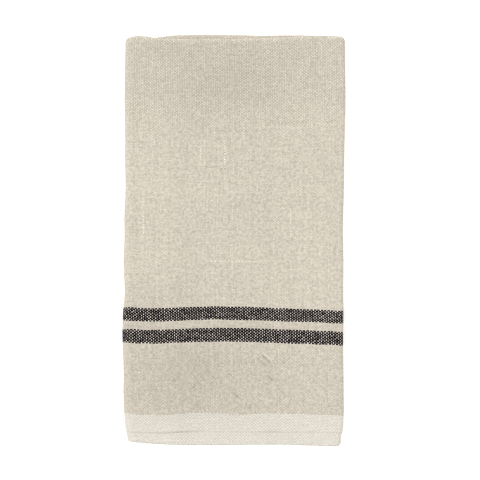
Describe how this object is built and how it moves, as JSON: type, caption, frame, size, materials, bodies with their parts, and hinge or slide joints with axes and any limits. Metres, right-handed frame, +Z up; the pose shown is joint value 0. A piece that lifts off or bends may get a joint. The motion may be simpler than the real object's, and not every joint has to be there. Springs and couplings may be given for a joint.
{
  "type": "folded linen napkin",
  "caption": "Linen table napkin folded flat for a place setting: natural flax weave with dark woven stripes and a pale hemmed border at the open end.",
  "frame": {"origin": "centre of the footprint on the surface it lies on", "axes": "+Z up out of the surface; +Y along the folded length, from the hemmed end to the cross fold; +X across, from the closed outer fold to the side with the free edges"},
  "size_m": [0.1306, 0.2398, 0.0136],
  "materials": {
    "linen": "plain-woven natural flax, matt, with charcoal weft stripes and a cream border at each end"
  },
  "bodies": {
    "root": {"napkin": "linen"}
  },
  "joints": []
}
